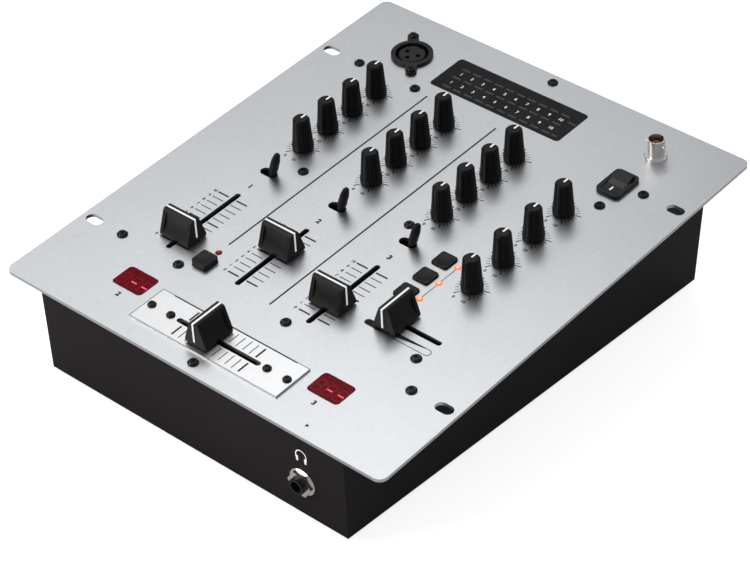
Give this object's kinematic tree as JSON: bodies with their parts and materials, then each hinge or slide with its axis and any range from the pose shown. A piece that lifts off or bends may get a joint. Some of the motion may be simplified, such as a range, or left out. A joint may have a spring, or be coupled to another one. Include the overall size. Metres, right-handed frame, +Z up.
{
  "type": "dj mixer",
  "caption": "Table-top audio mixer: wedge body, overhanging faceplate with knobs, sliding faders, toggles, push buttons, level meter and sockets.",
  "frame": {"origin": "middle of the footprint at the feet's undersides", "axes": "+Z up, +Y towards the rear, +X to the right seen from the front"},
  "size_m": [0.254, 0.3116, 0.1043],
  "materials": {
    "plate_aluminium": "brushed",
    "fader_plate_aluminium": "brushed",
    "body_paint": "satin",
    "foot_rubber": "matte",
    "screw_black": "satin",
    "window_smoke": "smoked",
    "bar_grey": "satin",
    "window_red": "red filter",
    "digit_red": "satin",
    "socket_black": "satin",
    "nickel": "satin",
    "lamp_insulator": "satin",
    "control_black": "satin",
    "track_steel": "zinc plated",
    "lens_orange": "lit",
    "board_green": "solder mask",
    "spacer_brass": "plated",
    "insulator_white": "satin",
    "winding_yellow": "varnished"
  },
  "bodies": {
    "casing": {"faceplate": "plate_aluminium", "chassis": "body_paint", "rear_panel": "body_paint", "rubber_feet": "foot_rubber", "faceplate_screws": "screw_black", "small_screws": "screw_black", "crossfader_plate": "fader_plate_aluminium", "meter_window": "window_smoke", "meter_leds": "bar_grey", "display_windows": "window_red", "display_modules": "digit_red", "mic_socket_shell": "socket_black", "mic_socket_insert": "socket_black", "lamp_socket_shell": "nickel", "lamp_socket_core": "lamp_insulator", "power_switch_frame": "socket_black", "headphone_jack": "socket_black", "headphone_nut": "nickel", "fader_tracks": "track_steel", "potentiometers": "track_steel", "toggle_bodies": "socket_black", "button_switches": "socket_black", "indicator_leds": "lens_orange", "control_board": "board_green", "board_standoffs": "spacer_brass", "phono_barrels": "nickel", "phono_insulators": "insulator_white", "ground_posts": "nickel", "input_board": "board_green", "mains_inlet": "socket_black", "power_supply": "winding_yellow"},
    "knob_ch1_gain": {"knob_ch1_gain": "control_black"},
    "knob_ch1_high": {"knob_ch1_high": "control_black"},
    "knob_ch1_mid": {"knob_ch1_mid": "control_black"},
    "knob_ch1_low": {"knob_ch1_low": "control_black"},
    "knob_ch2_gain": {"knob_ch2_gain": "control_black"},
    "knob_ch2_high": {"knob_ch2_high": "control_black"},
    "knob_ch2_mid": {"knob_ch2_mid": "control_black"},
    "knob_ch2_low": {"knob_ch2_low": "control_black"},
    "knob_ch3_gain": {"knob_ch3_gain": "control_black"},
    "knob_ch3_high": {"knob_ch3_high": "control_black"},
    "knob_ch3_mid": {"knob_ch3_mid": "control_black"},
    "knob_ch3_low": {"knob_ch3_low": "control_black"},
    "knob_master": {"knob_master": "control_black"},
    "knob_balance": {"knob_balance": "control_black"},
    "knob_booth": {"knob_booth": "control_black"},
    "knob_headphones": {"knob_headphones": "control_black"},
    "fader_cap_ch1": {"fader_cap_ch1": "control_black"},
    "fader_cap_ch2": {"fader_cap_ch2": "control_black"},
    "fader_cap_ch3": {"fader_cap_ch3": "control_black"},
    "fader_cap_cross": {"fader_cap_cross": "control_black"},
    "fader_cap_cue_mix": {"fader_cap_cue_mix": "control_black"},
    "toggle_lever_ch1": {"toggle_lever_ch1": "control_black"},
    "toggle_lever_ch2": {"toggle_lever_ch2": "control_black"},
    "toggle_lever_ch3": {"toggle_lever_ch3": "control_black"},
    "button_talk": {"button_talk": "control_black"},
    "button_cue_ch1": {"button_cue_ch1": "control_black"},
    "button_cue_ch2": {"button_cue_ch2": "control_black"},
    "button_cue_ch3": {"button_cue_ch3": "control_black"},
    "power_rocker": {"power_rocker": "control_black"}
  },
  "joints": [
    {"name": "turn_ch1_gain", "type": "hinge", "parent": "casing", "child": "knob_ch1_gain", "pos_m": [-0.0719, 0.07502, 0.08391], "axis": [0, -0.1097, 0.994], "range_deg": [-150, 150]},
    {"name": "turn_ch1_high", "type": "hinge", "parent": "casing", "child": "knob_ch1_high", "pos_m": [-0.0719, 0.05475, 0.08167], "axis": [0, -0.1097, 0.994], "range_deg": [-150, 150]},
    {"name": "turn_ch1_mid", "type": "hinge", "parent": "casing", "child": "knob_ch1_mid", "pos_m": [-0.0719, 0.03447, 0.07943], "axis": [0, -0.1097, 0.994], "range_deg": [-150, 150]},
    {"name": "turn_ch1_low", "type": "hinge", "parent": "casing", "child": "knob_ch1_low", "pos_m": [-0.0719, 0.01419, 0.07719], "axis": [0, -0.1097, 0.994], "range_deg": [-150, 150]},
    {"name": "turn_ch2_gain", "type": "hinge", "parent": "casing", "child": "knob_ch2_gain", "pos_m": [-0.0235, 0.07502, 0.08391], "axis": [0, -0.1097, 0.994], "range_deg": [-150, 150]},
    {"name": "turn_ch2_high", "type": "hinge", "parent": "casing", "child": "knob_ch2_high", "pos_m": [-0.0235, 0.05475, 0.08167], "axis": [0, -0.1097, 0.994], "range_deg": [-150, 150]},
    {"name": "turn_ch2_mid", "type": "hinge", "parent": "casing", "child": "knob_ch2_mid", "pos_m": [-0.0235, 0.03447, 0.07943], "axis": [0, -0.1097, 0.994], "range_deg": [-150, 150]},
    {"name": "turn_ch2_low", "type": "hinge", "parent": "casing", "child": "knob_ch2_low", "pos_m": [-0.0235, 0.01419, 0.07719], "axis": [0, -0.1097, 0.994], "range_deg": [-150, 150]},
    {"name": "turn_ch3_gain", "type": "hinge", "parent": "casing", "child": "knob_ch3_gain", "pos_m": [0.0249, 0.07502, 0.08391], "axis": [0, -0.1097, 0.994], "range_deg": [-150, 150]},
    {"name": "turn_ch3_high", "type": "hinge", "parent": "casing", "child": "knob_ch3_high", "pos_m": [0.0249, 0.05475, 0.08167], "axis": [0, -0.1097, 0.994], "range_deg": [-150, 150]},
    {"name": "turn_ch3_mid", "type": "hinge", "parent": "casing", "child": "knob_ch3_mid", "pos_m": [0.0249, 0.03447, 0.07943], "axis": [0, -0.1097, 0.994], "range_deg": [-150, 150]},
    {"name": "turn_ch3_low", "type": "hinge", "parent": "casing", "child": "knob_ch3_low", "pos_m": [0.0249, 0.01419, 0.07719], "axis": [0, -0.1097, 0.994], "range_deg": [-150, 150]},
    {"name": "turn_master", "type": "hinge", "parent": "casing", "child": "knob_master", "pos_m": [0.0735, 0.05455, 0.08165], "axis": [0, -0.1097, 0.994], "range_deg": [-150, 150]},
    {"name": "turn_balance", "type": "hinge", "parent": "casing", "child": "knob_balance", "pos_m": [0.0735, 0.0293, 0.07886], "axis": [0, -0.1097, 0.994], "range_deg": [-150, 150]},
    {"name": "turn_booth", "type": "hinge", "parent": "casing", "child": "knob_booth", "pos_m": [0.0735, 0.00405, 0.07607], "axis": [0, -0.1097, 0.994], "range_deg": [-150, 150]},
    {"name": "turn_headphones", "type": "hinge", "parent": "casing", "child": "knob_headphones", "pos_m": [0.0735, -0.02119, 0.07328], "axis": [0, -0.1097, 0.994], "range_deg": [-150, 150]},
    {"name": "slide_ch1", "type": "slide", "parent": "casing", "child": "fader_cap_ch1", "axis": [0, 0.994, 0.1097], "range_m": [-0.0069, 0.0381]},
    {"name": "slide_ch2", "type": "slide", "parent": "casing", "child": "fader_cap_ch2", "axis": [0, 0.994, 0.1097], "range_m": [-0.0297, 0.0153]},
    {"name": "slide_ch3", "type": "slide", "parent": "casing", "child": "fader_cap_ch3", "axis": [0, 0.994, 0.1097], "range_m": [-0.0139, 0.0311]},
    {"name": "slide_cross", "type": "slide", "parent": "casing", "child": "fader_cap_cross", "axis": [1, 0, 0], "range_m": [-0.0164, 0.0286]},
    {"name": "slide_cue_mix", "type": "slide", "parent": "casing", "child": "fader_cap_cue_mix", "axis": [1, 0, 0], "range_m": [-0.0066, 0.0234]},
    {"name": "flip_ch1", "type": "hinge", "parent": "casing", "child": "toggle_lever_ch1", "pos_m": [-0.0719, -0.01246, 0.0662], "axis": [0, 0.994, 0.1097], "range_deg": [-34, 0]},
    {"name": "flip_ch2", "type": "hinge", "parent": "casing", "child": "toggle_lever_ch2", "pos_m": [-0.0235, -0.01246, 0.0662], "axis": [0, 0.994, 0.1097], "range_deg": [-34, 0]},
    {"name": "flip_ch3", "type": "hinge", "parent": "casing", "child": "toggle_lever_ch3", "pos_m": [0.0249, -0.01246, 0.0662], "axis": [0, 0.994, 0.1097], "range_deg": [-34, 0]},
    {"name": "press_talk", "type": "slide", "parent": "casing", "child": "button_talk", "axis": [0, -0.1097, 0.994], "range_m": [-0.0022, 0], "stiffness_N_per_m": 150},
    {"name": "release_cue_ch1", "type": "slide", "parent": "casing", "child": "button_cue_ch1", "axis": [0, -0.1097, 0.994], "range_m": [0, 0.0022]},
    {"name": "release_cue_ch2", "type": "slide", "parent": "casing", "child": "button_cue_ch2", "axis": [0, -0.1097, 0.994], "range_m": [0, 0.0022]},
    {"name": "release_cue_ch3", "type": "slide", "parent": "casing", "child": "button_cue_ch3", "axis": [0, -0.1097, 0.994], "range_m": [0, 0.0022]},
    {"name": "rock_power", "type": "hinge", "parent": "casing", "child": "power_rocker", "pos_m": [0.0827, 0.08927, 0.08608], "axis": [1, 0, 0], "range_deg": [-20, 0]}
  ]
}
